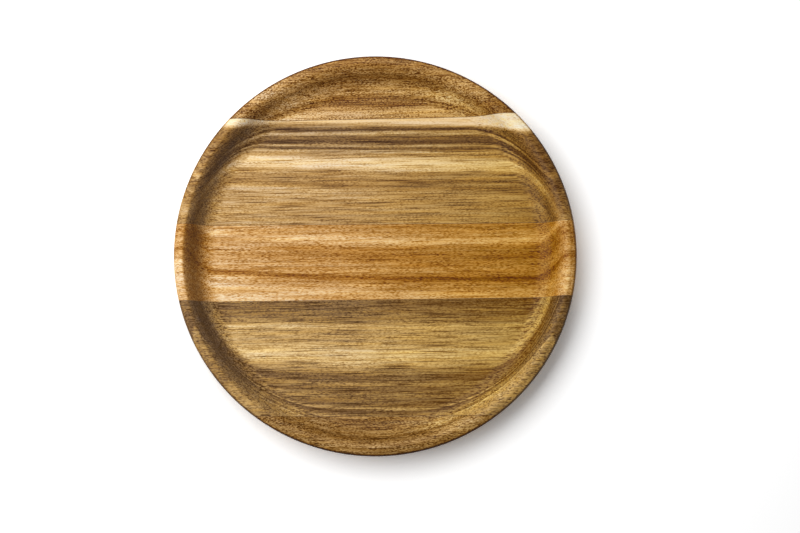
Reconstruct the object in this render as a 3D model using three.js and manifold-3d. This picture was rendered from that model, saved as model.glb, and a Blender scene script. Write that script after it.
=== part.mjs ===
// Round wooden plate: five staves edge-glued into a panel, then turned to a coved dish with a raised rim.
// Millimetres, +Z up. The origin is the centre of the flat base, and the grain runs along X.
import * as THREE from "three";
import { mergeVertices } from "three/addons/utils/BufferGeometryUtils.js";
import Module from "manifold-3d";

// The turned section. Runs and widths are measured level, towards the plate's edge.
const PLATE_DIAMETER = 250;
const FLOOR_THICKNESS = 8;
const DISH_DEPTH = 12; // floor to the crest of the rim
const WALL_RUN = 20.3; // edge of the flat floor to the crest
const RIM_WIDTH = 4.7; // crest to the plate's widest edge
const SHOULDER_RADIUS = 10; // where the cove turns over towards the rim
const SHOULDER_SLOPE = 22; // degrees from level, where the shoulder meets the crest
const CREST_RADIUS = 4;
const RIM_SLOPE = 15; // degrees from level, the outward fall of the rim's top
const EDGE_RADIUS = 2.2;
const SIDE_LEAN_AT_EDGE = 12; // degrees from upright, just under the plate's edge
const SIDE_LEAN_AT_FOOT = 62; // degrees from upright, where the side meets the foot
const FOOT_RADIUS = 3;

// The glued panel. Widths run along Y, at the plate's middle, and the inner staves fill what is left.
const BACK_STAVE_WIDTH = 38.2;
const CENTRE_STAVE_WIDTH = 47.5;
const CENTRE_STAVE_OFFSET = -3.6; // middle of the centre stave from the plate's middle
const FRONT_STAVE_WIDTH = 25.1;
const BACK_JOINT_SKEW = 0.4; // degrees that a joint turns away from X
const INNER_BACK_JOINT_SKEW = -0.3;
const INNER_FRONT_JOINT_SKEW = -0.05;
const FRONT_JOINT_SKEW = -0.5;
const GLUE_THICKNESS = 0.2;
const GLUE_CLEARANCE = 0.02; // between a cured film and the stave on each side of it
const TURNING_ALLOWANCE = 5; // wood of the square panel that the turning takes off all round

// How finely round faces are cut into flats.
const TURN_STEPS = 96;
const ARC_STEPS = 3; // half the flats of one arc in the section

const radians = THREE.MathUtils.degToRad;
const QUARTER_TURN = Math.PI / 2;
const plateRadius = PLATE_DIAMETER / 2;
const rimHeight = FLOOR_THICKNESS + DISH_DEPTH;

const wasm = await Module();
wasm.setup();

// The point that lies a distance from a centre, in the direction of an angle.
function offset(centre, distance, angle) {
  return new THREE.Vector2(centre.x + distance * Math.cos(angle), centre.y + distance * Math.sin(angle));
}

// The rim: its crest, its edge, and the straight top between them that touches both arcs.
function rimCentres() {
  const fall = radians(RIM_SLOPE);
  const crest = new THREE.Vector2(plateRadius - RIM_WIDTH, rimHeight - CREST_RADIUS);
  const edgeX = plateRadius - EDGE_RADIUS;
  const drop = (edgeX - crest.x) * Math.tan(fall) - (CREST_RADIUS - EDGE_RADIUS) / Math.cos(fall);
  const edge = new THREE.Vector2(edgeX, crest.y - drop);
  return { crest, edge };
}

// The side: one arc from the edge's rounding to the foot's, of the radius that sets the foot on the base.
function sideAndFoot(edge) {
  const atEdge = radians(SIDE_LEAN_AT_EDGE);
  const atFoot = radians(SIDE_LEAN_AT_FOOT);
  const top = edge.y - EDGE_RADIUS * Math.sin(atEdge);
  const bottom = FOOT_RADIUS * (1 - Math.sin(atFoot));
  const radius = (top - bottom) / (Math.sin(atFoot) - Math.sin(atEdge));
  const centre = offset(edge, EDGE_RADIUS - radius, -atEdge);
  const foot = offset(centre, radius - FOOT_RADIUS, -atFoot);
  return { side: { centre, radius }, foot };
}

// The wall: a hollow cove and the shoulder above it meet at one slope, which sets the cove's radius.
function coveAndShoulder(crest) {
  const shoulderSlope = radians(SHOULDER_SLOPE);
  const shoulder = offset(crest, CREST_RADIUS - SHOULDER_RADIUS, QUARTER_TURN + shoulderSlope);
  const floorRadius = plateRadius - RIM_WIDTH - WALL_RUN;
  const run = shoulder.x - floorRadius;
  const rise = shoulder.y + SHOULDER_RADIUS - FLOOR_THICKNESS;
  const slope = 2 * Math.atan2(rise, run);
  const radius = run / Math.sin(slope) - SHOULDER_RADIUS;
  const centre = new THREE.Vector2(floorRadius, FLOOR_THICKNESS + radius);
  return { shoulder, slope, cove: { centre, radius } };
}

// Half of the plate's section: along the base, up the side, over the rim and down the cove to the floor.
function turnedSection() {
  const { crest, edge } = rimCentres();
  const { side, foot } = sideAndFoot(edge);
  const { shoulder, slope, cove } = coveAndShoulder(crest);
  const sideTop = -radians(SIDE_LEAN_AT_EDGE);
  const sideFoot = -radians(SIDE_LEAN_AT_FOOT);
  const rimTop = QUARTER_TURN - radians(RIM_SLOPE);
  const shoulderTop = QUARTER_TURN + radians(SHOULDER_SLOPE);

  const section = new THREE.Path();
  section.moveTo(0, 0);
  section.lineTo(foot.x, 0);
  section.absarc(foot.x, foot.y, FOOT_RADIUS, -QUARTER_TURN, sideFoot, false);
  section.absarc(side.centre.x, side.centre.y, side.radius, sideFoot, sideTop, false);
  section.absarc(edge.x, edge.y, EDGE_RADIUS, sideTop, rimTop, false);
  section.absarc(crest.x, crest.y, CREST_RADIUS, rimTop, shoulderTop, false);
  section.absarc(shoulder.x, shoulder.y, SHOULDER_RADIUS, shoulderTop, QUARTER_TURN + slope, false);
  section.absarc(cove.centre.x, cove.centre.y, cove.radius, slope - QUARTER_TURN, -QUARTER_TURN, true);
  section.lineTo(0, FLOOR_THICKNESS);
  return section.getPoints(ARC_STEPS);
}

// A closed geometry as a solid that can be cut. Triangles that close up at the turning axis are left out.
function solidOf(geometry) {
  geometry.deleteAttribute("normal");
  geometry.deleteAttribute("uv");
  const merged = mergeVertices(geometry);
  const corners = merged.index.array;
  const triVerts = [];
  for (let i = 0; i < corners.length; i += 3) {
    const [a, b, c] = corners.slice(i, i + 3);
    if (a !== b && b !== c && c !== a) triVerts.push(a, b, c);
  }
  return new wasm.Manifold(new wasm.Mesh({
    numProp: 3,
    vertProperties: new Float32Array(merged.attributes.position.array),
    triVerts: new Uint32Array(triVerts),
  }));
}

// A cut solid as a geometry with flat faces.
function geometryOf(solid) {
  const mesh = solid.getMesh();
  const geometry = new THREE.BufferGeometry();
  geometry.setAttribute("position", new THREE.BufferAttribute(mesh.vertProperties, 3));
  geometry.setIndex(new THREE.BufferAttribute(mesh.triVerts, 1));
  geometry.computeVertexNormals();
  return geometry;
}

const turnedPlate = solidOf(new THREE.LatheGeometry(turnedSection(), TURN_STEPS).rotateX(QUARTER_TURN));
const panelReach = plateRadius + TURNING_ALLOWANCE;

// The joints between the staves, from the back one to the front one. Y is where a joint crosses the middle.
const centreBack = CENTRE_STAVE_OFFSET + CENTRE_STAVE_WIDTH / 2;
const centreFront = CENTRE_STAVE_OFFSET - CENTRE_STAVE_WIDTH / 2;
const joints = [
  { name: "glue_line_1", y: plateRadius - BACK_STAVE_WIDTH, skew: radians(BACK_JOINT_SKEW) },
  { name: "glue_line_2", y: centreBack, skew: radians(INNER_BACK_JOINT_SKEW) },
  { name: "glue_line_3", y: centreFront, skew: radians(INNER_FRONT_JOINT_SKEW) },
  { name: "glue_line_4", y: FRONT_STAVE_WIDTH - plateRadius, skew: radians(FRONT_JOINT_SKEW) },
];

// The straight line at a distance behind the middle of a joint's film, as its two ends on the square panel.
function jointEdge(joint, behind) {
  const middle = joint.y + behind / Math.cos(joint.skew);
  const climb = panelReach * Math.tan(joint.skew);
  return [new THREE.Vector2(-panelReach, middle - climb), new THREE.Vector2(panelReach, middle + climb)];
}

// The panel's own front or back edge.
function panelEdge(y) {
  return [new THREE.Vector2(-panelReach, y), new THREE.Vector2(panelReach, y)];
}

// One piece of the plate: the strip of the square panel between two edges, turned with the rest.
function turnedStrip(name, frontEdge, backEdge, material) {
  const outline = new THREE.Shape([...frontEdge, ...backEdge.toReversed()]);
  const depth = rimHeight + 2 * TURNING_ALLOWANCE;
  const strip = new THREE.ExtrudeGeometry(outline, { depth, bevelEnabled: false });
  strip.translate(0, 0, -TURNING_ALLOWANCE);
  const mesh = new THREE.Mesh(geometryOf(turnedPlate.intersect(solidOf(strip))), material);
  mesh.name = name;
  return mesh;
}

function oiledWood(color) {
  return new THREE.MeshStandardMaterial({ color, roughness: 0.5, metalness: 0 });
}

const staves = [
  { name: "back_stave", color: 0x976d3b },
  { name: "inner_back_stave", color: 0xb9925b },
  { name: "centre_stave", color: 0xb78647 },
  { name: "inner_front_stave", color: 0xb49057 },
  { name: "front_stave", color: 0x8c6837 },
];

const plate = new THREE.Group();
plate.name = "wooden_plate";

const staveFace = GLUE_THICKNESS / 2 + GLUE_CLEARANCE;
staves.forEach(({ name, color }, index) => {
  const behind = joints[index - 1];
  const before = joints[index];
  const backEdge = behind ? jointEdge(behind, -staveFace) : panelEdge(panelReach);
  const frontEdge = before ? jointEdge(before, staveFace) : panelEdge(-panelReach);
  plate.add(turnedStrip(name, frontEdge, backEdge, oiledWood(color)));
});

for (const joint of joints) {
  const curedGlue = new THREE.MeshStandardMaterial({ color: 0x5f4226, roughness: 0.6, metalness: 0 });
  const frontEdge = jointEdge(joint, -GLUE_THICKNESS / 2);
  const backEdge = jointEdge(joint, GLUE_THICKNESS / 2);
  plate.add(turnedStrip(joint.name, frontEdge, backEdge, curedGlue));
}

export default plate;
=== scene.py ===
# %% [markdown]
# # A round wooden plate, edge-glued from five staves
# The real plate starts as five boards of one hardwood, glued edge to edge. The panel is then turned: a
# flat floor, a hollow cove up to a raised rim, and a rounded side down to the foot. This lesson dresses
# the plate's measured solids: each stave becomes a fine surface, and each gets the wood of its own board.
# The measured model is loaded first, because every surface below has to fit it.

# %% Load the measured plate
import math
from dataclasses import dataclass

import bmesh
import bpy
import numpy as np
from mathutils import Matrix, Vector


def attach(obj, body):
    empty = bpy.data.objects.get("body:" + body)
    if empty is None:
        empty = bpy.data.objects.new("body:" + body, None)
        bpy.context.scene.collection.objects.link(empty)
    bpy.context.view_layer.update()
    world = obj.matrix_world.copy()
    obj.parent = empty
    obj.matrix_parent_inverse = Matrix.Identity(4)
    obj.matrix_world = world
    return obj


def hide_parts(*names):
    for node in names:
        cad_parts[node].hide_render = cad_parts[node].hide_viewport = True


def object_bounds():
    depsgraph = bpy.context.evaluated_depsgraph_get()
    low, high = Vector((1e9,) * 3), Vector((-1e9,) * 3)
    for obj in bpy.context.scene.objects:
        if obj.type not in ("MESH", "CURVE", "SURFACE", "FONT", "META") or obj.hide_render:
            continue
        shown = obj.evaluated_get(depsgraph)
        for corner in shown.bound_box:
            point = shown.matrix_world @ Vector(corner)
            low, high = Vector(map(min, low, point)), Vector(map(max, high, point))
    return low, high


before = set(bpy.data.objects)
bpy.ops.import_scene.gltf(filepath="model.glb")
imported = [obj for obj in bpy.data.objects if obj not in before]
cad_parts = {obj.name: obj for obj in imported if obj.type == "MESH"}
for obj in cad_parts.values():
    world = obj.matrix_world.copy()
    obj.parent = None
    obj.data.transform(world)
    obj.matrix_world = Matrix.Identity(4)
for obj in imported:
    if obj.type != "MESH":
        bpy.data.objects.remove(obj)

MM = 0.001
cad_low, cad_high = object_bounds()
plate_radius = (cad_high.x - cad_low.x) / 2
rim_height = cad_high.z
print(f"plate {plate_radius * 2 / MM:.1f} mm across, {rim_height / MM:.1f} mm high")
print("nodes:", ", ".join(sorted(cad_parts)))

# %% [markdown]
# ## The turned section
# A lathe leaves one section all the way round, so the plate's shape is a single line from the middle of
# the floor to the middle of the base. It could be drawn as a handful of points and smoothed, but the real
# cutter leaves arcs that run into each other without a corner. So the line is made of arcs, and each
# centre is placed along the shared normal of its neighbour, so that two arcs touch without a kink.

# %% Arcs that follow each other
QUARTER_TURN = math.pi / 2
ARC_POINTS = 65


def towards(centre, distance, angle):
    """The point at a distance from a centre, in the direction of an angle."""
    return centre + distance * np.array([math.cos(angle), math.sin(angle)])


def arc(centre, radius, start, stop):
    """Points of a circle: its centre plus its radius times (cos, sin) of evenly spaced angles."""
    angles = np.linspace(start, stop, ARC_POINTS)
    return centre + radius * np.stack([np.cos(angles), np.sin(angles)], axis=1)


def joined(*arcs):
    """One line out of arcs that follow each other. Each later arc drops its first point, which is shared."""
    return np.concatenate([arcs[0], *(points[1:] for points in arcs[1:])])


# %% The rim: its crest, its falling top and its rounded edge
RIM_WIDTH = 4.7 * MM
RIM_SLOPE = math.radians(15)
CREST_RADIUS = 4 * MM
EDGE_RADIUS = 2.2 * MM

crest = np.array([plate_radius - RIM_WIDTH, rim_height - CREST_RADIUS])
edge_out = plate_radius - EDGE_RADIUS
edge_drop = (edge_out - crest[0]) * math.tan(RIM_SLOPE) - (CREST_RADIUS - EDGE_RADIUS) / math.cos(RIM_SLOPE)
edge = np.array([edge_out, crest[1] - edge_drop])
print(f"widest edge {(rim_height - edge[1]) / MM:.2f} mm under the crest")

# %% The wall: a hollow cove and the shoulder above it
FLOOR_THICKNESS = 8 * MM
WALL_RUN = 20.3 * MM
SHOULDER_RADIUS = 10 * MM
SHOULDER_SLOPE = math.radians(22)

shoulder = towards(crest, CREST_RADIUS - SHOULDER_RADIUS, QUARTER_TURN + SHOULDER_SLOPE)
floor_radius = plate_radius - RIM_WIDTH - WALL_RUN
wall_run = shoulder[0] - floor_radius
wall_rise = shoulder[1] + SHOULDER_RADIUS - FLOOR_THICKNESS
wall_slope = 2 * math.atan2(wall_rise, wall_run)
cove_radius = wall_run / math.sin(wall_slope) - SHOULDER_RADIUS
cove = np.array([floor_radius, FLOOR_THICKNESS + cove_radius])
print(f"cove radius {cove_radius / MM:.2f} mm, wall {math.degrees(wall_slope):.1f} degrees at its steepest")

# %% The side: one long arc down to the foot
SIDE_LEAN_AT_EDGE = math.radians(12)
SIDE_LEAN_AT_FOOT = math.radians(62)
FOOT_RADIUS = 3 * MM

side_top = edge[1] - EDGE_RADIUS * math.sin(SIDE_LEAN_AT_EDGE)
side_bottom = FOOT_RADIUS * (1 - math.sin(SIDE_LEAN_AT_FOOT))
side_radius = (side_top - side_bottom) / (math.sin(SIDE_LEAN_AT_FOOT) - math.sin(SIDE_LEAN_AT_EDGE))
side = towards(edge, EDGE_RADIUS - side_radius, -SIDE_LEAN_AT_EDGE)
foot = towards(side, side_radius - FOOT_RADIUS, -SIDE_LEAN_AT_FOOT)
print(f"side radius {side_radius / MM:.2f} mm, flat base {foot[0] * 2 / MM:.1f} mm across")

# %% Heights of the upper and the lower face
top_line = joined(
    arc(cove, cove_radius, -QUARTER_TURN, wall_slope - QUARTER_TURN),
    arc(shoulder, SHOULDER_RADIUS, QUARTER_TURN + wall_slope, QUARTER_TURN + SHOULDER_SLOPE),
    arc(crest, CREST_RADIUS, QUARTER_TURN + SHOULDER_SLOPE, QUARTER_TURN - RIM_SLOPE),
    arc(edge, EDGE_RADIUS, QUARTER_TURN - RIM_SLOPE, 0),
)
under_line = joined(
    arc(foot, FOOT_RADIUS, -QUARTER_TURN, -SIDE_LEAN_AT_FOOT),
    arc(side, side_radius, -SIDE_LEAN_AT_FOOT, -SIDE_LEAN_AT_EDGE),
    arc(edge, EDGE_RADIUS, -SIDE_LEAN_AT_EDGE, 0),
)


def top_height(radius):
    """Height of the upper face: level over the floor, then up the cove and over the rim."""
    return np.interp(radius, top_line[:, 0], top_line[:, 1])


def under_height(radius):
    """Height of the lower face: level over the base, then up the side to the widest edge."""
    return np.interp(radius, under_line[:, 0], under_line[:, 1])


print(f"wood under the crest {(top_height(crest[0]) - under_height(crest[0])) / MM:.1f} mm thick")

# %% [markdown]
# ## Rings that crowd where the section turns
# The real edge is a small, even rounding, so the mesh needs many points there and few on the level floor.
# Even steps in length would waste them, so the steps are even in length plus a weight times the angle
# turned: a sharp rounding then counts as if it were longer, and gets its share of rings.

# %% Radii of the rings from the floor's edge to the plate's edge
RIM_RINGS = 84
TURN_WEIGHT = 7 * MM

steps = np.diff(top_line, axis=0)
headings = np.arctan2(steps[:, 1], steps[:, 0])
turned = np.abs(np.diff(headings, prepend=headings[0]))
measure = np.concatenate([[0], np.cumsum(np.hypot(steps[:, 0], steps[:, 1]) + TURN_WEIGHT * turned)])
rim_rings = np.interp(np.linspace(0, measure[-1], RIM_RINGS), measure, top_line[:, 0])
print(f"ring steps from {np.diff(rim_rings).min() / MM:.3f} to {np.diff(rim_rings).max() / MM:.2f} mm")

# %% [markdown]
# ## The joints
# Each glue film of the measured plate lies along a straight line that is nearly, but not quite, along the
# grain: boards are never planed perfectly parallel. The lines could be written down a second time here,
# but then the two models could drift apart. They are read from the films themselves, so the staves meet
# where the measured ones do.

# %% Straight lines through the glue films
GLUE_NODES = ("glue_line_1", "glue_line_2", "glue_line_3", "glue_line_4")


def joint_line(node):
    """Middle and slope of the straight line that fits a film's corners best, y = middle + slope * x."""
    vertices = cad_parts[node].data.vertices
    corners = np.empty(len(vertices) * 3)
    vertices.foreach_get("co", corners)
    slope, middle = np.polyfit(corners[0::3], corners[1::3], 1)
    return middle, slope


joints = [joint_line(node) for node in GLUE_NODES]
for node, (middle, slope) in zip(GLUE_NODES, joints):
    turn = math.degrees(math.atan(slope))
    print(f"{node}: {middle / MM:.2f} mm behind the middle, turned {turn:.2f} degrees")

# %% [markdown]
# ## Plans of the staves
# Seen from above, a stave is a strip of the disc between two joints, or the cap outside the last one. A
# disc could be cut up with booleans, but the cut would leave long thin faces that shade badly. Instead
# both plans are grids whose lines run along the rings of the rim, so that the rounded edge stays smooth.
# In a strip every row is a straight line and its points are where it crosses each ring. In a cap every
# row is an arc.

# %% A strip between two joints
FLOOR_STEPS = 72
RING_MARGIN = 1.5 * MM


def rings_outside(distance):
    """The rim's rings that clear a joint line at this distance from the plate's middle."""
    return rim_rings[rim_rings > distance + RING_MARGIN]


def strip_plan(front, back, rows):
    """Grid between two joint lines. Row v is the line y = m + s x part way from front to back. Its
    columns are where it meets a ring of radius r, x = (-m s -+ sqrt(r^2 (1 + s^2) - m^2)) / (1 + s^2),
    with even steps over the floor between the innermost pair."""
    share = np.linspace(0, 1, rows)[:, None]
    middle = front[0] + (back[0] - front[0]) * share
    slope = front[1] + (back[1] - front[1]) * share
    rings = rings_outside(max(abs(front[0]), abs(back[0])))
    stretch = 1 + slope**2
    reach = np.sqrt(rings**2 * stretch - middle**2)
    left = (-middle * slope - reach[:, ::-1]) / stretch
    right = (-middle * slope + reach) / stretch
    over_floor = np.linspace(0, 1, FLOOR_STEPS)[1:-1]
    floor = left[:, -1:] + (right[:, :1] - left[:, -1:]) * over_floor
    x = np.concatenate([left, floor, right], axis=1)
    return x, middle + slope * x


# %% A cap outside one joint
CAP_COLUMNS = 160
CAP_FLOOR_ROWS = 16


def cap_plan(joint, side_sign):
    """Grid outside one joint line, at a distance d from the middle. Row r is the arc of radius r that the
    line cuts off: it swings acos(d / r) to either side of its normal. The first row closes to a point."""
    lean = math.atan(joint[1])
    distance = abs(joint[0]) * math.cos(lean)
    rings = rings_outside(distance)
    inner = distance + (rings[0] - distance) * np.linspace(0, 1, CAP_FLOOR_ROWS)[:-1] ** 2
    radius = np.concatenate([inner, rings])[:, None]
    swing = np.arccos(np.clip(distance / radius, -1, 1)) * np.linspace(1, -1, CAP_COLUMNS)
    angle = lean + side_sign * QUARTER_TURN + swing
    return radius * np.cos(angle), radius * np.sin(angle)


# %% Five staves and the glue films between them
GLUE_THICKNESS = 0.2 * MM
GLUE_CLEARANCE = 0.02 * MM
STAVE_ROWS = 64
FILM_ROWS = 2
film_face = GLUE_THICKNESS / 2
stave_face = film_face + GLUE_CLEARANCE


def shifted(line, distance):
    """The parallel line that lies a distance behind (+) or in front (-) of a line."""
    middle, slope = line
    return middle + distance * math.hypot(1, slope), slope


def stave_plan(front, back):
    """Grid of a stave that keeps clear of the films in the joints before and behind it."""
    return strip_plan(shifted(front, stave_face), shifted(back, -stave_face), STAVE_ROWS)


plans = {
    "back_stave": cap_plan(shifted(joints[0], stave_face), 1),
    "inner_back_stave": stave_plan(joints[1], joints[0]),
    "centre_stave": stave_plan(joints[2], joints[1]),
    "inner_front_stave": stave_plan(joints[3], joints[2]),
    "front_stave": cap_plan(shifted(joints[3], -stave_face), -1),
}
for node, joint in zip(GLUE_NODES, joints):
    plans[node] = strip_plan(shifted(joint, -film_face), shifted(joint, film_face), FILM_ROWS)
for node, (columns, _) in plans.items():
    print(f"{node}: {columns.shape[0]} rows of {columns.shape[1]} points")

# %% [markdown]
# ## From a plan to a closed piece
# A stave is a solid board, so its mesh has to close. It could be a top sheet with a Solidify modifier,
# but the upper and the lower face are different shapes here. So a piece has both faces over its plan, and
# upright walls along its border. At the plate's edge the two faces meet, so the wall there has no height:
# merging the doubled points closes it, and closes the point of a cap in the same way. The joint faces
# stay sharp, and the turned faces are smooth.

# %% Closed surfaces
MERGE_DISTANCE = 0.001 * MM
SHARP_ANGLE = math.radians(35)


def closed_piece(name, x, y):
    """Mesh over a plan grid: the grid at the upper height, again at the lower height with its quads
    turned over, and a quad from every border step of one to the same step of the other."""
    radius = np.minimum(np.hypot(x, y), plate_radius)
    upper = np.stack([x, y, top_height(radius)], axis=-1).reshape(-1, 3)
    lower = np.stack([x, y, under_height(radius)], axis=-1).reshape(-1, 3)
    grid = np.arange(x.size).reshape(x.shape)
    quads = np.stack([grid[:-1, :-1], grid[:-1, 1:], grid[1:, 1:], grid[1:, :-1]], axis=-1).reshape(-1, 4)
    border = np.concatenate([grid[0, :-1], grid[:-1, -1], grid[-1, :0:-1], grid[:0:-1, 0]])
    following = np.roll(border, -1)
    walls = np.stack([border + x.size, following + x.size, following, border], axis=1)
    faces = np.concatenate([quads, quads[:, ::-1] + x.size, walls])

    mesh = bpy.data.meshes.new(name)
    mesh.from_pydata(np.concatenate([upper, lower]), [], faces)
    shell = bmesh.new()
    shell.from_mesh(mesh)
    bmesh.ops.remove_doubles(shell, verts=shell.verts, dist=MERGE_DISTANCE)
    open_edges = sum(not step.is_manifold for step in shell.edges)
    shell.to_mesh(mesh)
    shell.free()
    mesh.shade_smooth()
    mesh.set_sharp_from_angle(angle=SHARP_ANGLE)

    piece = bpy.data.objects.new(name, mesh)
    bpy.context.scene.collection.objects.link(piece)
    print(f"{name}: {len(mesh.vertices)} points, {len(mesh.polygons)} faces, {open_edges} open edges")
    return piece


# %% Nine pieces in place of the measured ones
pieces = {}
for node, plan in plans.items():
    piece = closed_piece("turned_" + node, *plan)
    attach(piece, "root")
    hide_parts(node)
    pieces[node] = piece

# %% [markdown]
# ## Writing shaders as sums
# A wood is mostly arithmetic: distances, shares and thresholds. Wiring each Math node by hand hides that,
# so a Field stands for one socket and its operators add the nodes. Everything that isn't arithmetic, such
# as a noise or a ramp, comes from one method that sets the node up and then fills its sockets. Shares come
# from steps, and a pair of named values below holds where such a step starts and where it is full.

# %% Colours and ramps
def linear(code):
    """A colour written as #rrggbb in the light-linear numbers that a shader works with."""
    levels = np.array([int(code[i : i + 2], 16) for i in (1, 3, 5)]) / 255
    light = np.where(levels <= 0.04045, levels / 12.92, ((levels + 0.055) / 1.055) ** 2.4)
    return (*light, 1.0)


def even_stops(tones):
    """Stops for a ramp, in even steps from the first tone to the last."""
    return [(index / (len(tones) - 1), linear(tone)) for index, tone in enumerate(tones)]


def fill_ramp(ramp, stops):
    """Gives a colour ramp its stops, each a place from 0 to 1 and a colour."""
    ramp.interpolation = "LINEAR"
    ramp.elements.remove(ramp.elements[0])
    ramp.elements[0].position = stops[0][0]
    ramp.elements[0].color = stops[0][1]
    for place, colour in stops[1:]:
        ramp.elements.new(place).color = colour


print(f"the grey #808080 is {linear('#808080')[0]:.3f} in linear light")


# %% A material under construction
class Finish:
    """One material's nodes. node() adds one of any type, with its settings first and its sockets after."""

    def __init__(self, name):
        self.material = bpy.data.materials.new(name)
        self.material.use_nodes = True
        self.tree = self.material.node_tree
        self.tree.nodes.clear()

    def node(self, kind, settings=None, sockets=None, output=0):
        made = self.tree.nodes.new(kind)
        for setting, value in (settings or {}).items():
            if setting == "stops":
                fill_ramp(made.color_ramp, value)
            else:
                setattr(made, setting, value)
        for socket, value in (sockets or {}).items():
            if isinstance(value, Field):
                self.tree.links.new(value.socket, made.inputs[socket])
            else:
                made.inputs[socket].default_value = value
        return Field(self, made.outputs[output]) if made.outputs else made


# %% A value that changes over the surface
class Field:
    """One output socket. Arithmetic with fields and numbers adds Math nodes."""

    def __init__(self, finish, socket):
        self.finish = finish
        self.socket = socket

    def math(self, operation, *values):
        return self.finish.node("ShaderNodeMath", {"operation": operation}, dict(enumerate(values)))

    def __add__(self, other):
        return self.math("ADD", self, other)

    def __sub__(self, other):
        return self.math("SUBTRACT", self, other)

    def __rsub__(self, other):
        return self.math("SUBTRACT", other, self)

    def __mul__(self, other):
        return self.math("MULTIPLY", self, other)

    def __truediv__(self, other):
        return self.math("DIVIDE", self, other)

    def __rtruediv__(self, other):
        return self.math("DIVIDE", other, self)

    def __pow__(self, other):
        return self.math("POWER", self, other)

    def __rpow__(self, other):
        return self.math("POWER", other, self)

    __radd__ = __add__
    __rmul__ = __mul__

    def other(self, output):
        """Another output of the node that this field comes from."""
        return Field(self.finish, self.socket.node.outputs[output])


# %% Steps, scales and mixes
def straight_step(value, start, full):
    """A straight rise from 0 where a value starts to 1 where it is full."""
    return value.finish.node("ShaderNodeMapRange", {}, {"Value": value, "From Min": start, "From Max": full})


def soft_step(value, start, full):
    """The same rise with both of its ends rounded off."""
    settings = {"interpolation_type": "SMOOTHSTEP"}
    sockets = {"Value": value, "From Min": start, "From Max": full}
    return value.finish.node("ShaderNodeMapRange", settings, sockets)


def grey_scale(value, stops):
    """Lightness by a value, in straight lines between stops of a value and its lightness."""
    stops = sorted(stops)
    first, last = stops[0][0], stops[-1][0]
    greys = [((at - first) / (last - first), (grey, grey, grey, 1)) for at, grey in stops]
    place = (value - first) / (last - first)
    return value.finish.node("ShaderNodeValToRGB", {"stops": greys}, {"Fac": place})


def blend(first, second, share):
    """A value on the way from a first one to a second, by a share from 0 to 1."""
    return first + (second - first) * share


def mixed(finish, share, first, second, blend_type="MIX"):
    """A colour on the way from a first one to a second, or to their product, by a share from 0 to 1."""
    settings = {"data_type": "RGBA", "blend_type": blend_type}
    return finish.node("ShaderNodeMix", settings, {0: share, 6: first, 7: second}, output=2)


def tinted(colour, tint, share=1.0):
    """A colour on the way to its product with a tint, by a share from 0 to 1."""
    return mixed(colour.finish, share, colour, tint, "MULTIPLY")


# %% [markdown]
# ## What a board looks like
# A board is a slice of a log, so its figure is a solid one: rings round the log's pith, cut wherever the
# surface happens to run. Painting bands on the floor would miss the way they sweep round the cove, so
# every board is given the place of its pith, and its rings are read by the distance from it. The same
# rings then show as stripes on the floor and as contour lines on the wall, as on the real plate. What
# sets one board apart from the next is kept in a record of its own, and the functions below turn any
# record into a finish.

# %% A board's record
@dataclass
class Board:
    """The wood of one stave. Places are millimetres in the plate's frame. Lightness is from 0 to 1."""

    slot: str
    seed: int  # sets the board's noises apart from those of the others
    pith: tuple  # Y of the log's middle, and its height over the floor
    sway: float  # reach of the rings' long waves
    ripple: float  # reach of their short waves
    rings: list  # Y where a ring crosses the floor at the plate's middle, and its lightness
    # along is partly the board's own change and partly painted light, brighter towards the light on the left
    along: list  # X, and the lightness there
    patches: list  # X and Y of a patch, its reach along each, and the change of lightness in its middle
    lift: float  # lightness that is added all over
    grain: dict  # how much lines, ring lines, specks and pores take off the lightness
    speck: tuple  # length and width of a speck
    tones: list  # even steps from the darkest wood to the palest
    drift: float = 0.0  # how far the rings wander off for each step along X
    bow: float = 0.0  # how far they wander off for the square of X
    fan: tuple = None  # Y of a ring that runs straight, and of one with all of the drift and bow
    calm: float = 0.0  # how far the rings fade up the wall, from 0 to 1
    sapwood: tuple = None  # Y of its border on the floor, lean with height, turn along X, and softness
    sapwood_along: list = None  # X, and the lightness of the sapwood there
    # yellowing towards the right: partly oil, partly painted light that stands in for the light's sheen on
    # the left
    oil: tuple = (-20, 0.68)  # X where the oil starts to show, and how much blue it leaves at its deepest
    warm_grain: tuple = None  # lightness of grain with all and with none of a tint, its red and its blue
    umber: tuple = None  # Y of the rings where a greyer band starts, and where it is full


# %% A finish that follows the grain
class GrainFinish(Finish):
    """A finish that knows the surface point in the plate's own frame, in millimetres, its height over the
    floor's level, and the seed of its noises."""

    def __init__(self, name, seed):
        super().__init__(name)
        self.seed = seed
        metres = self.node("ShaderNodeTexCoord", output="Object")
        self.place = self.node("ShaderNodeVectorMath", {"operation": "SCALE"}, {0: metres, "Scale": 1 / MM})
        self.x = self.node("ShaderNodeSeparateXYZ", {}, {0: self.place})
        self.y = self.x.other("Y")
        self.height = self.x.other("Z") - FLOOR_THICKNESS / MM


LAYER_STEP = (3.7, 5.3, 8.9)


def drawn_out(wood, along, across, layer):
    """Coordinates that step by one over a length along the grain and over a width across it. Every layer
    of every seed lies a step away from the last, so no two noises repeat each other."""
    scale = (1 / along, 1 / across, 1 / across)
    offset = [(wood.seed + layer) * step for step in LAYER_STEP]
    return wood.node("ShaderNodeMapping", {}, {"Vector": wood.place, "Scale": scale, "Location": offset})


def noise(finish, cells, detail):
    """Noise from -0.5 to 0.5 with patches one cell wide."""
    return finish.node("ShaderNodeTexNoise", {}, {"Vector": cells, "Scale": 1.0, "Detail": detail}) - 0.5


def grain_noise(wood, along, across, layer, detail=1.0):
    """Noise from -0.5 to 0.5 whose patches have a length along the grain and a width across it."""
    return noise(wood, drawn_out(wood, along, across, layer), detail)


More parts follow.
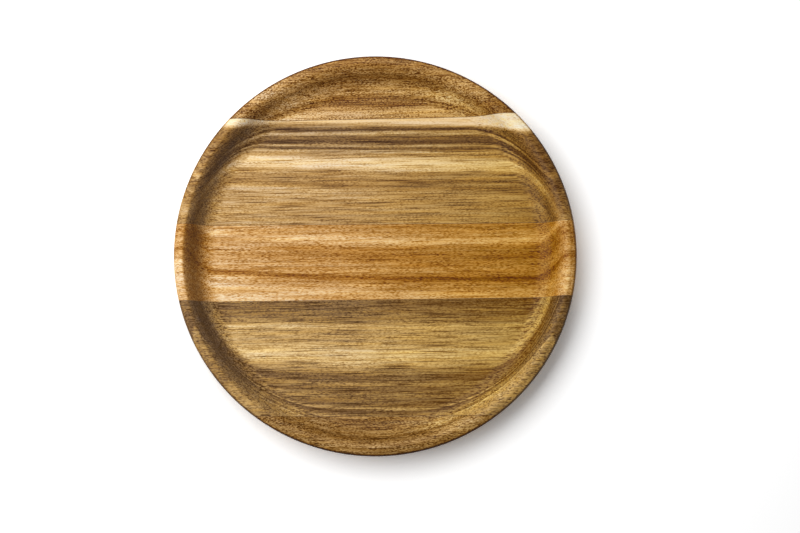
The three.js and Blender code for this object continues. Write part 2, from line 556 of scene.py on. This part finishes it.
# %% [markdown]
# ## Growth rings
# A tree grows a pale and a dark band each season. Even bands from a Wave Texture would look printed,
# because the real ones differ in width and depth, so a board lists its own. The log isn't a straight
# cylinder either: its rings wander off along the board, bow, fan out towards one side, and waver.

# %% Rings by their distance from the pith
SWAY_SIZE = (110, 26)
RIPPLE_SIZE = (24, 1.8)


def ring_distance(board, floor_y):
    """Distance from the pith of the ring that crosses the floor at this Y, at the plate's middle."""
    pith_y, pith_height = board.pith
    return math.hypot(floor_y - pith_y, pith_height)


def pith_distance(wood, board):
    """Distance from the pith's line, the root of y^2 + z^2 measured from it, plus drift by x, bow by x^2
    and waves. In a board that fans out, drift and bow grow from one ring to another."""
    pith_y, pith_height = board.pith
    across = wood.y - pith_y
    upward = wood.height - pith_height
    distance = (across * across + upward * upward) ** 0.5
    course = wood.x * board.drift + wood.x * wood.x * board.bow
    if board.fan:
        straight, bowed = (ring_distance(board, floor_y) for floor_y in board.fan)
        course = course * straight_step(distance, straight, bowed)
    sway = grain_noise(wood, *SWAY_SIZE, layer=0) * board.sway
    ripple = grain_noise(wood, *RIPPLE_SIZE, layer=1) * board.ripple
    return distance + course + sway + ripple


def ring_lightness(distance, board):
    """Lightness of the rings by the distance from the pith."""
    return grey_scale(distance, [(ring_distance(board, floor_y), grey) for floor_y, grey in board.rings])


print(f"rings sway over {SWAY_SIZE[0]} mm and ripple over {RIPPLE_SIZE[0]} mm along the grain")

# %% [markdown]
# ## Grain
# Finer things run along the grain: lines of a few centimetres, specks of a millimetre or two, and pores,
# the short dark dashes of a hardwood. Each is a noise drawn out along X, so end grain shows it as dots.
# A noise by itself would give as many pale dashes as dark ones, which looks like brushed paint. In wood
# the lines are the dark side of it, so only the low part of each noise is kept, and it is taken off the
# board's lightness.

# %% Lines and specks
LINE_SIZE = (28, 0.6)
RING_LINE_SIZE = (75, 0.6)
SPECK_PATCH_SIZE = (16, 2.2)


def low_side(value, start, full):
    """The low part of a noise, from 0 where it starts to show to 1 where it is full."""
    return straight_step(value, -start, -full)


def lines(wood):
    """Thin dark lines along the fibres, from 0 to 1."""
    return low_side(grain_noise(wood, *LINE_SIZE, layer=2), start=0.02, full=0.24)


def ring_lines(wood, distance):
    """Fine dark lines that follow the rings, from 0 to 1: a noise over X and the pith's distance."""
    along, across = RING_LINE_SIZE
    cells = wood.node("ShaderNodeCombineXYZ", {}, {0: wood.x / along, 1: distance / across, 2: wood.seed})
    return low_side(noise(wood, cells, detail=1.0), start=0.0, full=0.24)


def patchy(wood, size, layer, mean, swing):
    """How much of something there is from patch to patch: a mean, plus a swing times a noise."""
    return mean + grain_noise(wood, *size, layer) * swing


def specks(wood, board):
    """Dark specks of a millimetre or two, from 0 to 1, more of them in some patches."""
    speckle = low_side(grain_noise(wood, *board.speck, layer=3), start=-0.08, full=0.3)
    return speckle * patchy(wood, SPECK_PATCH_SIZE, layer=10, mean=0.7, swing=2)


print(f"grain lines about {LINE_SIZE[0]} mm long and {LINE_SIZE[1]} mm wide")

# %% Pores, and all the grain together
PORE_CELL = (7.0, 1.4)
PORE_SPOT = (0.16, 0.36)
PORE_PATCH_SIZE = (30, 8)
GRAIN_IN_DARK_RINGS = 1.7
GRAIN_IN_PALE_RINGS = 0.4


def pores(wood):
    """Dark dashes from 0 to 1: spots round the middles of long cells, more of them in some patches."""
    cells = drawn_out(wood, *PORE_CELL, layer=4)
    from_middle = wood.node("ShaderNodeTexVoronoi", {"feature": "F1"}, {"Vector": cells, "Scale": 1.0})
    spots = 1 - soft_step(from_middle, *PORE_SPOT)
    return spots * patchy(wood, PORE_PATCH_SIZE, layer=5, mean=0.5, swing=1.6)


def grain_depth(wood, board, distance, rings, line, pore):
    """What the grain takes off the lightness: each kind by the board's share, and more in dark rings."""
    depth = line * board.grain["lines"] + pore * board.grain["pores"]
    depth = depth + ring_lines(wood, distance) * board.grain["ring_lines"]
    depth = depth + specks(wood, board) * board.grain["specks"]
    return depth * blend(GRAIN_IN_DARK_RINGS, GRAIN_IN_PALE_RINGS, rings)


print(f"one pore to a cell of {PORE_CELL[0]} by {PORE_CELL[1]} mm")

# %% [markdown]
# ## Colours of a board
# Dark wood isn't pale wood with less light: it is redder and richer. So colours aren't scaled: a board
# has a short scale of tones, from its darkest line to its palest, and lightness picks the tone. Boards
# also change slowly from place to place, which soft patches give, and their fibres run cool and warm side
# by side, which a tint adds with little change in lightness. The slow change along X is partly painted
# light, brighter towards the light on the left, and one patch is painted shade on the rim.

# %% Tones, patches and streaks
DARKEST = -0.2
BLOTCH_SIZE = (60, 2.4)
BLOTCH_CONTRAST = 0.28
STREAK_SIZE = (45, 2.0)
STREAK_CONTRAST = 2
COOL_STREAK = (0.94, 1, 1.28, 1)
WARM_STREAK = (1.06, 1, 0.78, 1)


def tone_scale(lightness, board):
    """Colour at a lightness: even steps from the darkest tone, a little below 0, to the palest at 1."""
    place = (lightness - DARKEST) / (1 - DARKEST)
    return lightness.finish.node("ShaderNodeValToRGB", {"stops": even_stops(board.tones)}, {"Fac": place})


def patch_lightness(wood, board):
    """Sum of the board's soft patches. Each changes the lightness most in its middle and fades out to
    nothing on an ellipse, by the length of the offset in shares of its reach along X and Y."""
    total = 0
    for middle_x, middle_y, along, across, change in board.patches:
        scale = (1 / along, 1 / across, 0)
        middle = (-middle_x / along, -middle_y / across, 0)
        sockets = {"Vector": wood.place, "Scale": scale, "Location": middle}
        offset = wood.node("ShaderNodeMapping", {}, sockets)
        away = wood.node("ShaderNodeVectorMath", {"operation": "LENGTH"}, {0: offset}, output="Value")
        total = total + (1 - soft_step(away, 0, 1)) * change
    return total


def blotches(wood):
    """Slow changes along the grain, up and down in lightness."""
    return grain_noise(wood, *BLOTCH_SIZE, layer=7, detail=2.0) * BLOTCH_CONTRAST


def streak_tint(wood):
    """A tint between cool and warm, by a noise drawn out along the grain."""
    share = 0.5 + grain_noise(wood, *STREAK_SIZE, layer=9, detail=3.0) * STREAK_CONTRAST
    return mixed(wood, share, COOL_STREAK, WARM_STREAK)


print(f"streaks from {COOL_STREAK[2]} to {WARM_STREAK[2]} times the blue")

# %% [markdown]
# ## Cut across the fibres, and painted shade on the left wall
# Fibres seldom run level through a board. On this plate the left wall looks cut across them: its rings
# blur and its pores open. It is also dark, most of all higher up: a little of that is darker end grain,
# and the rest is painted shade of a wall that faces away from the light. The right wall stays clear. So
# the fibres are made to rise to the right, and both the end grain and the painted shade follow the way
# the surface faces, which puts them on the left wall.

# %% End grain, and painted shade on the left wall
FIBRE_RISE = math.radians(30)
# where the painted shade of the left wall lies: how far the surface faces along the fibres, and its heights
WALL_SHADE_FACING = (0.62, 0.92)
WALL_SHADE_HEIGHTS = (-1.0, 5.0)
OPEN_PORE = 0.6


def facing_fibres(wood):
    """How far a surface faces along the fibres, from -1 to 1: its normal times their direction."""
    normal = wood.node("ShaderNodeTexCoord", output="Normal")
    fibres = (math.cos(FIBRE_RISE), 0, math.sin(FIBRE_RISE))
    settings = {"operation": "DOT_PRODUCT"}
    return wood.node("ShaderNodeVectorMath", settings, {0: normal, 1: fibres}, output="Value")


def painted_wall_shade_share(wood, facing):
    """Share of painted shade, from 0 to 1: steep wall across the fibres, and more of it higher up."""
    return soft_step(facing, *WALL_SHADE_FACING) * soft_step(wood.height, *WALL_SHADE_HEIGHTS)


def open_pores(wood):
    """Dots of open pores, from 0 to 1: a noise as fine along the fibres as across them."""
    return low_side(grain_noise(wood, OPEN_PORE, OPEN_PORE, layer=8), start=0.0, full=0.26)


print(f"fibres rise by {math.degrees(FIBRE_RISE):.0f} degrees to the right")

# %% Lightness before the grain is taken off
MIDDLE_LIGHTNESS = 0.5
END_GRAIN_AND_SHADE_FACING = (0.5, 0.8)
CALM_TONE = 0.45
CALM_HEIGHTS = (3.0, 10.0)
# tone and share of the end grain, partly painted shade, and of the painted shade on the left wall
END_GRAIN_AND_SHADE_TONE = 0.45
END_GRAIN_AND_SHADE_SHARE = 0.25
WALL_SHADE_TONE = 0.0
WALL_SHADE_SHARE = 0.3


def bare_lightness(wood, board, rings, across, wall_shade):
    """Rings, slow changes and patches, drawn to one tone up a calm wall and on end grain and painted shade.
    The slow changes along X are partly painted light, brighter towards the light on the left. Rings and
    slow changes both lie about the middle lightness, so it is taken off once."""
    # slow changes: partly painted light, brighter towards the light on the left
    slow_and_painted_light = grey_scale(wood.x, board.along) + patch_lightness(wood, board)
    lightness = rings + slow_and_painted_light + blotches(wood) + board.lift - MIDDLE_LIGHTNESS
    if board.calm:
        lightness = blend(lightness, CALM_TONE, soft_step(wood.height, *CALM_HEIGHTS) * board.calm)
    # painted shade on the left wall: the end grain's share is partly painted shade, the wall shade's share
    # wholly
    lightness = blend(lightness, END_GRAIN_AND_SHADE_TONE, across * END_GRAIN_AND_SHADE_SHARE)
    return blend(lightness, WALL_SHADE_TONE, wall_shade * WALL_SHADE_SHARE)


# %% [markdown]
# ## Sapwood and the painted shade of the edge
# One board reaches out to the bark side of its log, where the wood is cream-coloured sapwood. Its border
# is a ring like any other, but it is sharper and turns along the board, so it is a plane of its own that
# leans with height. The plate's edge is dark with painted shade of its rounding, which turns away from
# the light: most at the back and the front, and hardly so at the ends. A line all round would be
# simpler, but look drawn on.

# %% Where sapwood and the dark edge are
SAPWOOD_WAVE_SIZE = (60, 5)
SAPWOOD_WAVE = 1.2
# width and depth of the painted shade on the plate's edge
EDGE_SHADE_WIDTHS = (1.6, 0.3)
EDGE_SHADE_DEPTHS = (2.4, 0.8)


def sapwood_share(wood, board):
    """Share of sapwood, from 0 to 1 over a width, up to a plane that leans with height and turns along X,
    and 1 beyond it."""
    floor_y, lean, turn, width = board.sapwood
    wave = grain_noise(wood, *SAPWOOD_WAVE_SIZE, layer=6) * SAPWOOD_WAVE
    beyond = wood.y + wood.height * lean + wood.x * turn + wave - floor_y
    return soft_step(beyond, -width, 0.0)


def painted_edge_shade_share(wood):
    """Share of the painted shade on the plate's edge, from 0 to 1 over the last of the radius, down to just
    under the edge, times the square of Y over the radius, which is 1 where the edge runs along the fibres."""
    outermost = plate_radius / MM
    edge_height = (edge[1] - FLOOR_THICKNESS) / MM
    radius = (wood.x * wood.x + wood.y * wood.y) ** 0.5
    outside = soft_step(radius, *(outermost - width for width in EDGE_SHADE_WIDTHS))
    above = soft_step(wood.height, *(edge_height - depth for depth in EDGE_SHADE_DEPTHS))
    return outside * above * (wood.y / outermost) ** 2


print(f"dark edge over the last {EDGE_SHADE_WIDTHS[0]} mm of the radius")

# %% [markdown]
# ## Oil
# The plate looks oiled, and it is yellower towards the right end. That could be a clear coat, but a coat
# lies on top and only adds shine, where oil soaks in and takes blue out of the wood's colour.
# So it is a tint: pale wood takes it all, dark bands keep their grey, and it thins out up the wall. In
# two boards the dark grain itself has warmed there, and in one a band of rings keeps a greyer umber where
# the oil hasn't reached. The yellowing and the warmed grain are partly painted light: they stand in for a
# sheen that the light leaves on the left of the plate and not on the right.

# %% Tints of the oil
# where and how the yellowing shows, partly oil and partly painted light
OIL_AND_SHEEN_DEEPEST_X = 95
OIL_AND_SHEEN_LIGHTNESS = (-0.1, 0.3)
OIL_AND_SHEEN_HEIGHTS = (5.0, 11.0)
OIL_AND_SHEEN_LOST_UP_WALL = 0.6
WARM_GRAIN_HEIGHTS = (3.0, 10.0)
UMBER_HEIGHTS = (7.0, 11.0)
UMBER_TINT = (0.92, 1, 1.27, 1)


def oil_and_sheen_end(wood, board):
    """From 0 where the yellowing starts to show to 1 where it is deepest, along X: partly oil, partly
    painted light.
    """
    return straight_step(wood.x, board.oil[0], OIL_AND_SHEEN_DEEPEST_X)


def oil_and_sheen_share(wood, lightness, end):
    """Share of the yellowing, oil and painted light: the yellowed end, in all but the darkest wood, and less
    of it up the wall.
    """
    up_wall = soft_step(wood.height, *OIL_AND_SHEEN_HEIGHTS)
    return end * soft_step(lightness, *OIL_AND_SHEEN_LIGHTNESS) * (1 - up_wall * OIL_AND_SHEEN_LOST_UP_WALL)


def umber_tinted(wood, board, colour, distance, share):
    """A colour with the greyer band of rings in it, by a share, up to the rim."""
    start, full = (ring_distance(board, floor_y) for floor_y in board.umber)
    band = soft_step(distance, start, full) * (1 - soft_step(wood.height, *UMBER_HEIGHTS))
    return tinted(colour, UMBER_TINT, band * share)


def grain_warmed(wood, board, colour, lightness, end):
    """A colour whose dark grain is tinted at the yellowed end, up to the rim: partly painted light, as the
    oil's tint is.
    """
    darkest, palest, red, blue = board.warm_grain
    dark = 1 - soft_step(lightness, darkest, palest)
    below_rim = 1 - soft_step(wood.height, *WARM_GRAIN_HEIGHTS)
    return tinted(colour, (red, 1, blue, 1), dark * end * below_rim)


print(f"oil at its deepest {OIL_AND_SHEEN_DEEPEST_X} mm to the right of the middle")

# %% [markdown]
# ## Oiled wood
# Everything comes together in one finish: a lightness, then its tone, then the tints. On real wood, open
# lines and pores are also fine cuts in the surface. Carving them into the mesh would take millions of
# faces, so a Bump node bends the light instead, and the cuts are a little rougher than the satin rest.

# %% A board's finish
OPEN_PORE_DEPTH = 0.42
# how far the painted shade on the plate's edge lowers the lightness
EDGE_PAINTED_SHADE = 0.85
SAPWOOD_GRAIN_LOSS = 0.7
# grey, colour and tint of the painted shade on the left wall
WALL_SHADE_GREY = 0.3
WALL_SHADE_COLOUR = "#5f4a35"
WALL_SHADE_TINT = (0.93, 1, 1.25, 1)


def board_colour(wood, board, distance, rings, line, pore):
    """The oiled board's colour. Rings, patches, end grain and painted shade on the left wall give a
    lightness, sapwood replaces it, and the grain and the painted shade of the edge lower it. The scale of
    tones makes it a colour, which the painted wall shade and the oil then tint; the oil's tint is partly
    painted light that stands in for the sheen the light leaves on the left."""
    facing = facing_fibres(wood)
    # end grain, partly painted shade, and the painted shade of the left wall
    across = soft_step(facing, *END_GRAIN_AND_SHADE_FACING)
    wall_shade = painted_wall_shade_share(wood, facing)
    lightness = bare_lightness(wood, board, rings, across, wall_shade)
    depth = grain_depth(wood, board, distance, rings, line, pore)
    end = oil_and_sheen_end(wood, board)
    oil = oil_and_sheen_share(wood, lightness, end)
    heartwood = 1
    if board.sapwood:
        pale = sapwood_share(wood, board)
        lightness = blend(lightness, grey_scale(wood.x, board.sapwood_along), pale)
        depth = depth * (1 - pale * SAPWOOD_GRAIN_LOSS)
        heartwood = 1 - pale
    lightness = lightness - depth - open_pores(wood) * across * OPEN_PORE_DEPTH
    # painted shade on the plate's edge, where its rounding turns away from the light
    lightness = lightness - painted_edge_shade_share(wood) * EDGE_PAINTED_SHADE

    # painted shade: the left wall greyed and tinted where it faces away from the light
    colour = mixed(wood, wall_shade * WALL_SHADE_GREY, tone_scale(lightness, board), linear(WALL_SHADE_COLOUR))
    colour = tinted(colour, WALL_SHADE_TINT, wall_shade)
    colour = tinted(colour, streak_tint(wood))
    # oil and painted light: blue taken out towards the right, standing in for the sheen the light leaves on
    # the left
    colour = tinted(colour, (1, 1, board.oil[1], 1), oil * heartwood)
    if board.umber:
        colour = umber_tinted(wood, board, colour, distance, (1 - end) * heartwood)
    if board.warm_grain:
        colour = grain_warmed(wood, board, colour, lightness, end)
    return colour


# %% The finish under a satin oil
WOOD_ROUGHNESS = 0.3
WOOD_SPECULAR = 0.1
CUT_ROUGHNESS = 0.1
CUT_DEPTH = 0.06 * MM
CUT_STRENGTH = 0.4


def oiled_wood(name, board):
    """A board's material: its colour, and lines and pores cut a little into the surface."""
    wood = GrainFinish(name, board.seed)
    distance = pith_distance(wood, board)
    rings = ring_lightness(distance, board)
    line = lines(wood)
    pore = pores(wood)
    surface = {"Strength": CUT_STRENGTH, "Distance": CUT_DEPTH, "Height": 0 - line - pore}
    shader = wood.node("ShaderNodeBsdfPrincipled", {}, {
        "Base Color": board_colour(wood, board, distance, rings, line, pore),
        "Roughness": WOOD_ROUGHNESS + line * CUT_ROUGHNESS + pore * CUT_ROUGHNESS,
        "Normal": wood.node("ShaderNodeBump", {}, surface),
        "Specular IOR Level": WOOD_SPECULAR,
    })
    wood.node("ShaderNodeOutputMaterial", {}, {"Surface": shader})
    return wood.material


def dress(node, board):
    """Gives a stave the wood of its board."""
    pieces[node].data.materials.append(oiled_wood("oiled_" + node, board))
    nodes = len(pieces[node].data.materials[0].node_tree.nodes)
    print(f"{node}: {len(board.rings)} ring stops round a pith at {board.pith} mm, {nodes} nodes")


# %% [markdown]
# ## The five boards
# The boards differ, so the joints show as a pattern. One wood with five colours would miss that each
# board has its own place in a log: a far pith gives level stripes, and a near one gives stripes that turn
# quickly on the wall. So each board gets a pith, rings from one joint to the next, slow changes and tones
# of its own.

# %% Back board, orange-brown
dress("back_stave", Board(
    slot="back_wood", seed=11, pith=(40, -240), sway=1.2, ripple=0.5, lift=0.19,
    grain={"lines": 0.5, "ring_lines": 0.12, "specks": 1.1, "pores": 0.14}, speck=(1.3, 0.46),
    along=[(-125, 0.74), (-72, 0.68), (-40, 0.5), (125, 0.5)],
    patches=[(-52, 101, 36, 18, 0.14), (56, 102, 40, 15, 0.2), (0, 121, 45, 7, -0.07)],
    rings=[
        (87, 0.57), (88.5, 0.61), (91, 0.69), (93, 0.63), (95, 0.5), (96.2, 0.36), (97.2, 0.52),
        (98.5, 0.42), (100, 0.29), (101.3, 0.47), (104, 0.58), (110, 0.58), (118, 0.5), (126, 0.4),
        (133, 0.4), (142, 0.5), (151, 0.5), (160, 0.48),
    ],
    tones=["#471e04", "#5f3208", "#784a0f", "#95672c", "#b98b4b", "#e2b87c", "#ffe8b5"],
))

# %% Inner back board, honey with an umber band and a cream sapwood border
dress("inner_back_stave", Board(
    slot="inner_back_wood", seed=23, pith=(-40, -250), sway=1.0, ripple=0.55, lift=0.152,
    drift=0.0149, bow=-6.5e-5, fan=(94.5, 45), calm=0.56, umber=(63.5, 67),
    grain={"lines": 0.46, "ring_lines": 0.1, "specks": 0.38, "pores": 0.1}, speck=(1.6, 0.54),
    along=[(-125, 0.56), (-108, 0.58), (-92, 0.52), (0, 0.475), (85, 0.375), (108, 0.29), (125, 0.4)],
    patches=[(101, 57, 14, 20, -0.22), (112, 32, 9, 20, -0.2), (-112, 56, 18, 34, 0.26)],
    rings=[
        (34.2, 0.5), (40, 0.55), (42, 0.45), (44, 0.37), (46.2, 0.48), (47.8, 0.38), (50.5, 0.52),
        (52.5, 0.44), (54.3, 0.65), (57.3, 0.72), (60, 0.78), (61.5, 0.63), (64.2, 0.46), (66, 0.61),
        (68, 0.12), (69.4, 0.58), (71.6, 0.09), (73.5, 0.23), (75.3, 0.25), (76.7, 0.54), (78.3, 0.6),
        (79.8, 0.03), (81.7, 0.32), (83, 0.42), (84.6, 0.24), (86.2, 0.38), (87.6, 0.26), (89.4, 0.4),
        (91.5, 0.27), (94, 0.42), (97, 0.34), (105, 0.44),
    ],
    sapwood=(85.2, 0.4, 0.028, 4.6), sapwood_along=[(-92, 0.98), (-60, 0.83), (60, 0.83), (95, 1.0)],
    tones=["#462506", "#5f3c17", "#7c562a", "#a1763b", "#c79e61", "#f1d09a", "#fff6d2"],
))

# %% Centre board, orange with one dark ring
dress("centre_stave", Board(
    slot="centre_wood", seed=37, pith=(-232, 235), sway=1.2, ripple=0.7, lift=0.163,
    drift=0.0222, bow=-1.8e-4, oil=(-32, 0.68), warm_grain=(0.2, 0.6, 0.96, 0.2),
    grain={"lines": 0.28, "ring_lines": 0.06, "specks": 0.68, "pores": 0.3}, speck=(2.1, 0.44),
    along=[
        (-125, 0.59), (-108, 0.68), (-92, 0.61), (0, 0.475),
        (92, 0.4), (110, 0.33), (118, 0.53), (125, 0.65),
    ],
    patches=[
        (85, -15.5, 45, 2.5, -0.15), (108, 14, 14, 13, -0.06), (-84, 13.8, 48, 5, -0.22),
        (-84, 5, 46, 5, 0.1), (-84, -11.5, 42, 4, 0.1), (-84, -21, 46, 5, -0.12),
    ],
    rings=[
        (-60, 0.6), (-45, 0.62), (-37, 0.67), (-26.5, 0.67), (-25.3, 0.65), (-23.4, 0.71), (-20.9, 0.6),
        (-17.8, 0.57), (-15.9, 0.48), (-14.6, 0.36), (-13.4, 0.3), (-12.1, 0.51), (-8.4, 0.57),
        (-4.6, 0.53), (-3.3, 0.47), (-0.5, 0.45), (2.3, 0.49), (5.5, 0.49), (6.5, 0.56), (7.4, 0.62),
        (8.6, 0.72), (9.9, 0.75), (11.8, 0.68), (13, 0.6), (16.2, 0.6), (18.7, 0.49), (19.5, 0.55),
        (24, 0.5),
    ],
    tones=["#562002", "#6c3404", "#854c06", "#a1691c", "#c38d47", "#e8bb7d", "#ffebbd"],
))

# %% Inner front board, honey and grey-brown
dress("inner_front_stave", Board(
    slot="inner_front_wood", seed=51, pith=(10, -417), sway=0.5, ripple=0.36, lift=0.19,
    drift=-0.0046, bow=9.2e-5, fan=(-37, -72), warm_grain=(0.0, 0.4, 1.25, 0.17),
    grain={"lines": 0.54, "ring_lines": 0.05, "specks": 0.38, "pores": 0.1}, speck=(1.6, 0.54),
    along=[(-125, 0.26), (-108, 0.36), (-88, 0.56), (0, 0.5), (85, 0.42), (108, 0.35), (125, 0.22)],
    patches=[
        # the patch at X 84, Y -99 is painted shade on the rim at the lower right, which turns away from the
        # light
        (70, -86, 40, 14, 0.09), (84, -99, 26, 12, -0.18), (88, -36, 14, 24, 0.06), (25, -99, 36, 10, 0.06),
        (-95, -80, 26, 34, -0.2), (-74, -97, 28, 16, -0.16),
    ],
    rings=[
        (-27, 0.13), (-32, 0.13), (-33.7, 0.28), (-36, 0.12), (-37.3, 0.28), (-41, 0.29), (-43, 0.47),
        (-44.2, 0.51), (-47, 0.39), (-50, 0.46), (-54, 0.42), (-58, 0.5), (-62.8, 0.57), (-66, 0.53),
        (-71, 0.37), (-74.5, 0.24), (-76, 0.06), (-77, 0.22), (-77.8, 0.09), (-80, 0.32), (-83.9, 0.12),
        (-86.3, 0.27), (-89.5, 0.24), (-92.5, 0.09), (-95, 0.43), (-96.6, 0.02), (-99, 0.19),
        (-103, 0.36), (-109.5, 0.25), (-110.9, 0.6), (-112.2, 0.5), (-115, 0.46),
    ],
    tones=["#4e300a", "#664720", "#82613c", "#a98246", "#d4ac6b", "#fdde9e", "#fffadd"],
))

# %% Front board, brown
dress("front_stave", Board(
    slot="front_wood", seed=67, pith=(-60, -300), drift=0.02, sway=1.4, ripple=0.5, lift=0.215,
    grain={"lines": 0.46, "ring_lines": 0.15, "specks": 1.05, "pores": 0.16}, speck=(1.5, 0.46),
    along=[(-125, 0.74), (-58, 0.64), (-15, 0.5), (125, 0.5)],
    patches=[(42, -105, 36, 10, 0.26), (-48, -114, 44, 11, -0.1), (12, -110, 26, 7, 0.08)],
    rings=[
        (-98, 0.55), (-101, 0.55), (-103, 0.46), (-110, 0.48), (-120, 0.5), (-128, 0.54), (-135, 0.52),
        (-142, 0.42), (-150, 0.44), (-158, 0.56), (-166, 0.58), (-175, 0.5),
    ],
    tones=["#381a02", "#4f2b04", "#663f0b", "#7f5722", "#9e753b", "#c59c60", "#eecd8f"],
))

# %% [markdown]
# ## The glue films
# Cured wood glue shows as a hair line between two staves, a little darker than the wood that it has
# soaked into. It could be left out at this size, but a joint without it reads as a printed edge.

# %% Cured glue
GLUE_TONES = ("#553a20", "#6b4a28", "#8a6338")
GLUE_SEED = 5
GLUE_ROUGHNESS = 0.55
MOTTLE_SIZE = (12, 0.8)
MOTTLE_ROUGHNESS = 0.2


def cured_glue(name):
    """Dark brown glue, mottled where it soaked into the fibres."""
    finish = GrainFinish(name, GLUE_SEED)
    mottle = grain_noise(finish, *MOTTLE_SIZE, layer=0)
    tone = finish.node("ShaderNodeValToRGB", {"stops": even_stops(GLUE_TONES)}, {"Fac": 0.5 + mottle})
    roughness = GLUE_ROUGHNESS + mottle * MOTTLE_ROUGHNESS
    shader = finish.node("ShaderNodeBsdfPrincipled", {}, {"Base Color": tone, "Roughness": roughness})
    finish.node("ShaderNodeOutputMaterial", {}, {"Surface": shader})
    return finish.material


glue = cured_glue("cured_glue")
for node in GLUE_NODES:
    pieces[node].data.materials.append(glue)
print(f"{len(GLUE_NODES)} films of {glue.name}")

# %% [markdown]
# ## The table
# The plate lies on a white table. Its own colour would render a little grey, and a brighter lamp would
# wash out the wood, so where the camera looks straight at it a paler one is used: the light on the plate
# stays as it is, and the table still carries the shadow.

# %% White table
TABLE_REACH = 4.0
TABLE_COLOUR = (0.8, 0.8, 0.8, 1)
TABLE_SEEN = (1.42, 1.42, 1.42, 1)


def white_table():
    """A level sheet at height zero, from its four corners."""
    corners = TABLE_REACH * np.array([[-1, -1, 0], [1, -1, 0], [1, 1, 0], [-1, 1, 0]])
    mesh = bpy.data.meshes.new("table")
    mesh.from_pydata(corners, [], [(0, 1, 2, 3)])
    table = bpy.data.objects.new("table", mesh)
    bpy.context.scene.collection.objects.link(table)

    finish = Finish("white_table")
    looking = finish.node("ShaderNodeLightPath", output="Is Camera Ray")
    seen = looking + looking.other("Is Glossy Ray") + looking.other("Is Transmission Ray")
    lit = finish.node("ShaderNodeBsdfDiffuse", {}, {"Color": TABLE_COLOUR})
    shown = finish.node("ShaderNodeBsdfDiffuse", {}, {"Color": TABLE_SEEN})
    surface = finish.node("ShaderNodeMixShader", {}, {0: seen, 1: lit, 2: shown})
    finish.node("ShaderNodeOutputMaterial", {}, {"Surface": surface})
    mesh.materials.append(finish.material)
    return table


floor = white_table()
print(f"{floor.name} {TABLE_REACH * 2:.0f} m across")

# %% [markdown]
# ## The light
# The shadow lies to the right and in front, short and soft, so the light is one large panel from behind
# on the left, with a dim even light from all round. A sun would be simpler, but its shadow is hard. The
# power that it needs grows with the square of its distance and with the slant of its light, so it is
# worked out from both, and one share sets how bright it is.

# %% Soft light from behind on the left
SOFTBOX_WIDTH = 1.4
SOFTBOX_HEIGHT = 0.7
SOFTBOX_DISTANCE = 0.75
SOFTBOX_AZIMUTH = math.radians(144)
SOFTBOX_ELEVATION = math.radians(58)
SOFTBOX_SHARE = 1.14

direction = Vector((
    math.cos(SOFTBOX_AZIMUTH) * math.cos(SOFTBOX_ELEVATION),
    math.sin(SOFTBOX_AZIMUTH) * math.cos(SOFTBOX_ELEVATION),
    math.sin(SOFTBOX_ELEVATION),
))
softbox_data = bpy.data.lights.new("softbox", "AREA")
softbox_data.shape = "RECTANGLE"
softbox_data.size = SOFTBOX_WIDTH
softbox_data.size_y = SOFTBOX_HEIGHT
softbox_data.energy = SOFTBOX_SHARE * (math.pi * SOFTBOX_DISTANCE) ** 2 / math.sin(SOFTBOX_ELEVATION)
softbox = bpy.data.objects.new("softbox", softbox_data)
softbox.location = direction * SOFTBOX_DISTANCE
softbox.rotation_euler = direction.to_track_quat("Z", "Y").to_euler()
bpy.context.scene.collection.objects.link(softbox)
print(f"softbox {softbox_data.energy:.2f} W at {SOFTBOX_DISTANCE} m")

# %% Even light from all round
SURROUND_SHARE = 0.285

world = bpy.data.worlds.new("surround")
world.use_nodes = True
surround = world.node_tree.nodes["Background"]
surround.inputs["Color"].default_value = (1, 1, 1, 1)
surround.inputs["Strength"].default_value = SURROUND_SHARE
bpy.context.scene.world = world
bpy.context.scene.view_settings.view_transform = "Standard"
print(f"surround strength {SURROUND_SHARE}")

# %% [markdown]
# ## The camera
# The photograph looks almost straight down, leaning a few degrees from the front, and is turned by under
# a degree, so the grain climbs a little to the right. The plate isn't in the middle of the picture, and
# the camera is aimed beside it rather than shifted, so that the perspective stays true.

# %% Looking down on the plate
PICTURE = (800, 533)
PLATE_MIDDLE_PIXEL = (375.3, 254.3)
PIXELS_PER_METRE = 1613
CAMERA_LEAN = math.radians(6.5)
CAMERA_TURN = math.radians(0.81)
LENS = 100
SENSOR = 36

right = Vector((math.cos(CAMERA_TURN), -math.sin(CAMERA_TURN), 0))
uphill = Vector((math.sin(CAMERA_TURN), math.cos(CAMERA_TURN), 0))
backward = (Vector((0, 0, math.cos(CAMERA_LEAN))) - uphill * math.sin(CAMERA_LEAN)).normalized()
aim = Vector((0, 0, edge[1]))
aim += right * ((PICTURE[0] / 2 - PLATE_MIDDLE_PIXEL[0]) / PIXELS_PER_METRE)
aim -= uphill * ((PICTURE[1] / 2 - PLATE_MIDDLE_PIXEL[1]) / PIXELS_PER_METRE)
camera_distance = LENS / SENSOR * PICTURE[0] / PIXELS_PER_METRE

camera_data = bpy.data.cameras.new("camera")
camera_data.lens = LENS
camera_data.sensor_width = SENSOR
camera = bpy.data.objects.new("camera", camera_data)
axes = Matrix((right, backward.cross(right), backward)).transposed()
camera.matrix_world = Matrix.Translation(aim + backward * camera_distance) @ axes.to_4x4()
bpy.context.scene.collection.objects.link(camera)
bpy.context.scene.camera = camera
print(f"camera {camera_distance:.3f} m from the rim")
